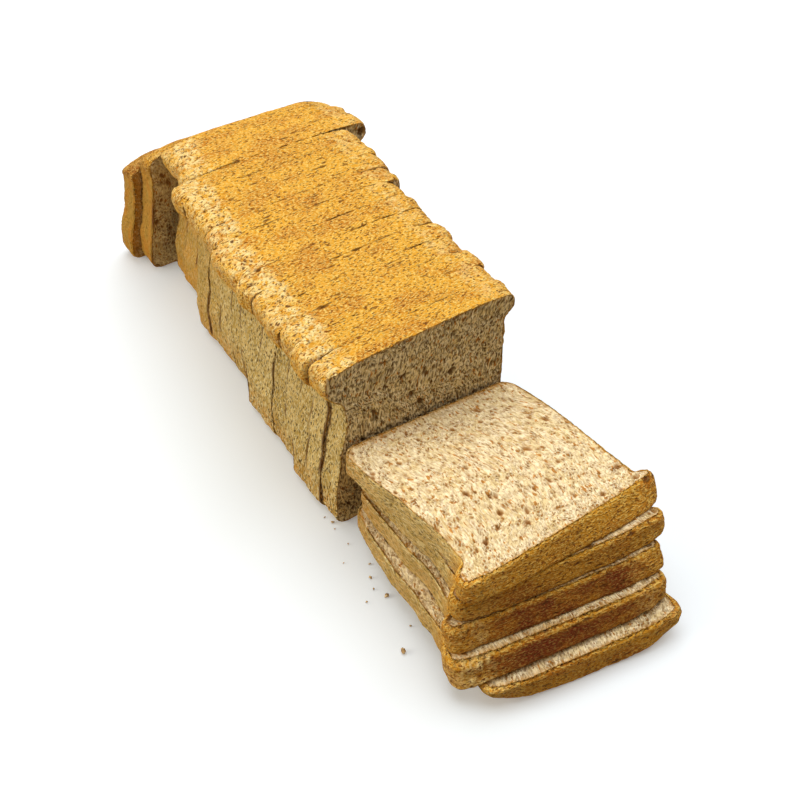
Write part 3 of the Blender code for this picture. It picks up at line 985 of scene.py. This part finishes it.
# Whole wheat crumb: cream, its pores painted brown as shade in them on a lit face and darker on a face
# painted in shade, its holes painted brownest as the shade deep in them
CRUMB_CREAM = "ECDCB4"
PORE_LIT = "B8803E"
PORE_SHADED = "5C421E"
HOLE_SHADE_BROWN = "744616"

# Along the crumb's own grain: dense and loose clouds, pale pore walls, bran flecks, darker bran and
# the brown rim by the crust
CRUMB_CLOUDS = Flecks(7.0, 1.0, 1.0, 1.0, 0.0, 0.35, 0.65, 0.9, "E2CC96")
CRUMB_WALLS = Flecks(0.9, 1.0, 2.2, 1.0, 3.0, 0.50, 0.60, 0.8, "FCF0D0")
CRUMB_BRAN = Flecks(2.0, 1.0, 1.5, 1.0, 13.0, 0.60, 0.64, 0.9, "C0802E")
DARK_BRAN = Flecks(1.3, 1.0, 1.4, 1.0, 23.0, 0.65, 0.69, 0.9, "8E561C")
CRUMB_RIM = Flecks(1.6, 1.0, 1.0, 1.0, 9.0, 0.25, 0.50, 1.0, "C48E34")

# The width of a pore in mm, how far and how often its walls stray, how wide the patches of open pores
# are, and the width of the finest pores, their place in the noise and how they are drawn out
PORE_WIDTH = 1.9
PORE_STRAY = 1.2
STRAY_SCALE = 0.5
STRAY_DETAIL = 2.0
OPEN_PORES = 4.0
FINE_PORES = 1.0
FINE_START = 5.0
FINE_DRAWN = (1.0, 0.55, 1.0)

# Fades: from the rim inward, over a pore's wall, over how open the pores are, which the painted shade of
# a face sets, and into the painted shade of pits and holes
BY_RIM = {START: 0.2, END: 1.6, AT_START: 1.0, AT_END: 0.0}
IN_PORES = {START: 0.05, END: 0.3}
OPEN_FROM = {AT_START: 0.52, AT_END: 0.34}
OPEN_FULL = 0.62
FINE_SEEN = {START: 0.52, END: 0.60}
FINE_COVER = {AT_START: 0.2, AT_END: 0.8}
IN_OPEN_PITS = {START: 0.25, END: 1.0, AT_END: 0.85}
IN_HOLES = {START: 0.9, END: 1.7, AT_END: 0.85}

# Crumb is foam of the same starch, drier and duller than the crust
CRUMB_SURFACE = {"Roughness": 0.9, "IOR": 1.4, "Specular IOR Level": 0.2}
CRUMB_ROUGHNESS = 0.8


def open_pores(tree, flow, dark):
    """How open the crumb is: thin pale walls round open pores, as in foam, and the finest pores. The
    more a face is painted in shade, the more of them show.
    """
    wander = {"Vector": flow, "Scale": STRAY_SCALE, "Detail": STRAY_DETAIL}
    stray = add(tree, "TexNoise", wander).outputs["Color"]
    stray = add(tree, "VectorMath", {0: stray, 1: (PORE_STRAY,) * 3}, operation="MULTIPLY").outputs[0]
    foam = add(tree, "VectorMath", {0: flow, 1: stray}, operation="ADD").outputs[0]
    cells = {"Vector": foam, "Scale": 1.0 / PORE_WIDTH}
    foam = add(tree, "TexVoronoi", cells, feature="DISTANCE_TO_EDGE").outputs["Distance"]
    pores = add(tree, "MapRange", {VALUE: foam, **IN_PORES}).outputs[0]
    patches = {"Vector": flow, "Scale": 1.0 / OPEN_PORES, "Detail": FLECK_DETAIL}
    opened = add(tree, "TexNoise", patches).outputs[0]
    # The painted shade of a face opens more pores and covers more of it with the finest ones
    least = add(tree, "MapRange", {VALUE: dark, **OPEN_FROM}).outputs[0]
    opened = add(tree, "MapRange", {VALUE: opened, START: least, END: OPEN_FULL}).outputs[0]
    pores = add(tree, "Math", {0: pores, 1: opened}, operation="MULTIPLY").outputs[0]
    drawn = add(tree, "Mapping", {"Vector": flow, "Location": (FINE_START,) * 3, "Scale": FINE_DRAWN})
    small = {"Vector": drawn.outputs[0], "Scale": 1.0 / FINE_PORES, "Detail": FLECK_DETAIL}
    fine = add(tree, "TexNoise", small).outputs[0]
    most = add(tree, "MapRange", {VALUE: dark, **FINE_COVER}).outputs[0]
    fine = add(tree, "MapRange", {VALUE: fine, **FINE_SEEN, AT_END: most}).outputs[0]
    return add(tree, "Math", {0: pores, 1: fine}, operation="MAXIMUM").outputs[0]


def sliced_crumb():
    """Whole wheat crumb cut by a slicing blade: cream, dull, full of small holes and bran flecks."""
    tree, surface = new_material("sliced_whole_wheat_crumb")
    keys = ("flow", "sunk", "inward", "shade")
    kept = [add(tree, "Attribute", {}, attribute_name=key).outputs for key in keys]
    flow = kept[0]["Vector"]
    sunk, inside, dark = (outputs["Fac"] for outputs in kept[1:])
    rim = add(tree, "MapRange", {VALUE: inside, **BY_RIM}).outputs[0]
    pores = open_pores(tree, flow, dark)

    colour = linear(CRUMB_CREAM)
    for flecks in (CRUMB_CLOUDS, CRUMB_WALLS, CRUMB_BRAN, DARK_BRAN):
        colour, _ = flecked(tree, flow, flecks, colour, 1.0)
    # Pores, pits and holes are painted darker as shade in them: brown on a lit face, darker on a face in
    # shade
    shades = {COVER: dark, UNDER: linear(PORE_LIT), OVER: linear(PORE_SHADED)}
    hollow = add(tree, "Mix", shades, data_type="RGBA").outputs[MIXED]
    open_pits = add(tree, "MapRange", {VALUE: sunk, **IN_OPEN_PITS}).outputs[0]
    deep = add(tree, "MapRange", {VALUE: sunk, **IN_HOLES}).outputs[0]
    for share, over in ((pores, hollow), (open_pits, hollow), (deep, linear(HOLE_SHADE_BROWN))):
        layers = {COVER: share, UNDER: colour, OVER: over}
        colour = add(tree, "Mix", layers, data_type="RGBA").outputs[MIXED]
    colour, _ = flecked(tree, flow, CRUMB_RIM, colour, rim)
    rough = add(tree, "Bump", {"Height": pores, "Distance": -CRUMB_ROUGHNESS * MM}).outputs[0]
    feed(tree, surface, {"Base Color": colour, "Normal": rough, **CRUMB_SURFACE})


# Building the bread

# Spacing of the points on a face, by the crust and in the middle: where it is open to see, where
# some of it shows, and where it is hidden
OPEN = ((0.62, 0.62))
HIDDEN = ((1.0, 8.0))
PILE_UPPER = (0.9, 3.6)
END_FRONT = (0.9, 1.8)
HEEL_FRONT = (1.0, 4.0)
HEEL_CRUST = (1.4, 2.8)

# Where the noise of each group of pieces starts, and how far on that of the next piece does
ROW_SEED = 100
END_SEED = 430
PILE_SEED = 500
HEEL_SEED = 600
SEED_STEP = 20

CRUMB_FACES = ("crumb", "crumb")
ROW_TONES = (0.5, 0.15, 0.75, 0.3, 0.9, 0.2, 0.6, 0.35, 0.8, 0.3, 0.7, 0.4, 0.9, 0.3, 0.7)
END_LOOKS = (Look(0.45, 0.2, 0.3, 0.5), Look(0.6, 0.1, 0.6, 0.5))
PILE_LOOKS = (
    Look(0.45, 0.1, 0.2, 0.25),
    Look(0.6, 0.1, 0.5, 0.5),
    Look(1.0, 0.2, 0.4, 0.5),
    Look(1.0, 0.7, 0.5, 0.5),
    Look(0.35, 0.3, 0.3, 0.5),
)


def standing_piece(solid, place, after, left, order, *rest):
    """A slice that stands in the row or leans at its end."""
    hangs = (place.left_hang, place.right_hang)
    form = Form(left, STANDING_RIGHT, SLICE_HEIGHT - place.lower, hangs)
    return Piece(solid, form, standing(place, after), order, *rest)


def standing_pieces():
    """The row, of which the first front face is open to see, and the slice and heel at its far end."""
    pieces = []
    for i, place in enumerate(ROW):
        after = ROW[i + 1] if i + 1 < len(ROW) and i + 1 not in LOOSE_AFTER else None
        fineness = (HIDDEN if i else OPEN, HIDDEN)
        look = Look(bake=0.0, floury=1.0, tone=ROW_TONES[i], shade=1.0)
        pieces.append(standing_piece(f"row_slice_{i + 1:02d}", place, after, STANDING_LEFT, i,
                                     ROW_SEED + SEED_STEP * i, fineness, CRUMB_FACES, ROW_RIND, look))
    pieces.append(standing_piece("end_slice", END_PAIR[0], None, END_LEFT, len(ROW), END_SEED,
                                 (END_FRONT, HIDDEN), CRUMB_FACES, ROW_RIND, END_LOOKS[0]))
    pieces.append(standing_piece("end_heel", END_PAIR[1], None, END_LEFT, len(ROW) + 1,
                                 END_SEED + SEED_STEP, (HEEL_FRONT, HEEL_CRUST), ("crumb", "crust"),
                                 HEEL_RIND, END_LOOKS[1]))
    return pieces


def pile_pieces():
    """The toppled slices, from the top, and the heel under them. They are counted backward from -2."""
    pieces = []
    for i, fallen in enumerate(PILE[:-1]):
        shoulders = (PILE_SHOULDER, PILE_SHOULDER)
        form = Form(fallen.left_side, LYING_RIGHT, SLICE_HEIGHT + fallen.longer, shoulders)
        fineness = (HIDDEN, PILE_UPPER if i else OPEN)
        pieces.append(Piece(f"pile_slice_{i + 1:02d}", form, toppled(i), -2 - i,
                            PILE_SEED + SEED_STEP * i, fineness, CRUMB_FACES, PILE_RIND,
                            PILE_LOOKS[i], () if i else HOLES))
    form = Form(HEEL_SIDE, HEEL_SIDE, SLICE_HEIGHT, (HEEL_SHOULDER, HEEL_SHOULDER))
    pieces.append(Piece("pile_heel", form, toppled_heel, -1 - len(PILE), HEEL_SEED,
                        (HEEL_CRUST, PILE_UPPER), ("crust", "crumb"), PILE_RIND, PILE_LOOKS[-1]))
    return pieces


def make_bread():
    """Every slice and heel, each in place of its own solid."""
    pieces = standing_pieces() + pile_pieces()
    for piece, bread in [(piece, make_piece(piece)) for piece in pieces]:
        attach(bread, "root")
        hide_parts(piece.solid)


# The crumbs on the table

# How lumpy a crumb is: the share of its width, how many lumps and the noise's start. It is wider than
# it is high, and each is turned by some radians more than the last
LUMPS = ((0.45, 1.6, 90), (0.2, 4.0, 91))
LUMP_APART = 10.0
CRUMB_SHAPE = (1.15, 0.85, 0.6)
CRUMB_TURN = 2.4
CRUMB_SUBDIVISIONS = 3

# What the crumb's material reads on them: how close its grain is, how deep (painted dark as shade) and
# how brown in places, and how much painted shade their pores get
LOOSE_GRAIN = 1.7
LOOSE_DEPTH = 0.3
LOOSE_HOLES = (Humps(0.3, 0.6, 92),)
LOOSE_BROWN = (Humps(0.7, 2.5, 93),)
LOOSE_SHADE = 0.2


def table_crumbs():
    """Crumbs that fell beside the loaf: small torn lumps, all in one mesh."""
    shape = bmesh.new()
    for k, (x, y, width) in enumerate(CRUMBS):
        ball = bmesh.ops.create_icosphere(shape, subdivisions=CRUMB_SUBDIVISIONS, radius=0.5 * width * MM)
        lump = ball["verts"]
        points = np.array([corner.co for corner in lump]) / MM
        out = points / np.linalg.norm(points, axis=1)[:, None]
        swell = np.ones(len(points))
        for share, count, seed in LUMPS:
            swell += share * soft_noise(out * count + LUMP_APART * k, seed)
        points *= swell[:, None] * np.array(CRUMB_SHAPE)
        cosine, sine = math.cos(CRUMB_TURN * k), math.sin(CRUMB_TURN * k)
        spun = points[:, :2] @ np.array([[cosine, sine], [-sine, cosine]])
        low = points[:, 2].min()
        for corner, (across, along), up in zip(lump, spun, points[:, 2]):
            corner.co = ((x + across) * MM, (y + along) * MM, (up - low) * MM)
    mesh = bpy.data.meshes.new("table_crumbs")
    shape.to_mesh(mesh)
    shape.free()
    mesh.shade_smooth()
    place = np.array([corner.co for corner in mesh.vertices]) / MM
    keep(mesh, flow=place * LOOSE_GRAIN, sunk=LOOSE_DEPTH + humps(place, LOOSE_HOLES))
    keep(mesh, inward=1.0 + humps(place, LOOSE_BROWN), shade=LOOSE_SHADE)
    mesh.materials.append(bpy.data.materials["sliced_whole_wheat_crumb"])
    crumbs = show("table_crumbs", mesh)
    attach(crumbs, "root")


# The studio

# Lamps: name, place and size in metres, power in watts and colour
LAMPS = (
    ("overhead_softbox", (0.35, 0.2, 1.3), 1.8, 26.0, "FFFFFF"),
    ("left_softbox", (-1.3, 0.45, 0.6), 0.9, 13.0, "FFF6E6"),
)
ROOM_LIGHT = "FFDFAE"
ROOM_STRENGTH = 0.3

# The table is painted matt white and glows a little, so that its far part stays as pale as its near
TABLE_HALF = 5.0
TABLE_LOWER = 0.0005
TABLE_WHITE = "DAE6F2"
TABLE_GLOW = "FFFFFF"
TABLE_GLOW_STRENGTH = 0.19
TABLE_ROUGHNESS = 0.7


def make_camera():
    """The camera stands to the left in front of the loaf and looks down on it."""
    data = bpy.data.cameras.new("camera")
    data.lens = CAMERA_LENS
    data.sensor_width = CAMERA_SENSOR
    camera = show("camera", data)
    x, y, z = CAMERA_PLACE
    camera.location = ((x - CENTRE[0]) * MM, (y - CENTRE[1]) * MM, z * MM)
    camera.rotation_euler = (math.radians(CAMERA_TILT), 0.0, math.radians(CAMERA_TURN))
    bpy.context.scene.camera = camera


def make_light():
    """Soft lamps over the loaf and at its left, with pale light all round."""
    scene = bpy.context.scene
    world = bpy.data.worlds.new("studio")
    world.use_nodes = True
    background = world.node_tree.nodes["Background"]
    background.inputs["Color"].default_value = linear(ROOM_LIGHT)
    background.inputs["Strength"].default_value = ROOM_STRENGTH
    scene.world = world
    for name, place, size, power, colour in LAMPS:
        lamp = bpy.data.lights.new(name, "AREA")
        lamp.size = size
        lamp.energy = power
        lamp.color = linear(colour)[:3]
        light = show(name, lamp)
        light.location = place
        light.rotation_euler = Vector(place).to_track_quat("Z", "Y").to_euler()
    scene.view_settings.view_transform = "Standard"


def make_table():
    """A white table that the loaf lies on. Its light isn't thrown back onto the bread."""
    half = TABLE_HALF
    corners = [(-half, -half, 0.0), (half, -half, 0.0), (half, half, 0.0), (-half, half, 0.0)]
    mesh = bpy.data.meshes.new("table")
    mesh.from_pydata(corners, [], [(0, 1, 2, 3)])
    table = show("table", mesh)
    glow = {"Emission Color": linear(TABLE_GLOW), "Emission Strength": TABLE_GLOW_STRENGTH}
    tree, surface = new_material("matt_white_paint")
    feed(tree, surface, {"Base Color": linear(TABLE_WHITE), "Roughness": TABLE_ROUGHNESS, **glow})
    mesh.materials.append(bpy.data.materials["matt_white_paint"])
    table.location.z = -TABLE_LOWER
    table.visible_diffuse = False


make_camera()
make_light()
make_table()
oven_baked_crust()
sliced_crumb()
make_bread()
table_crumbs()
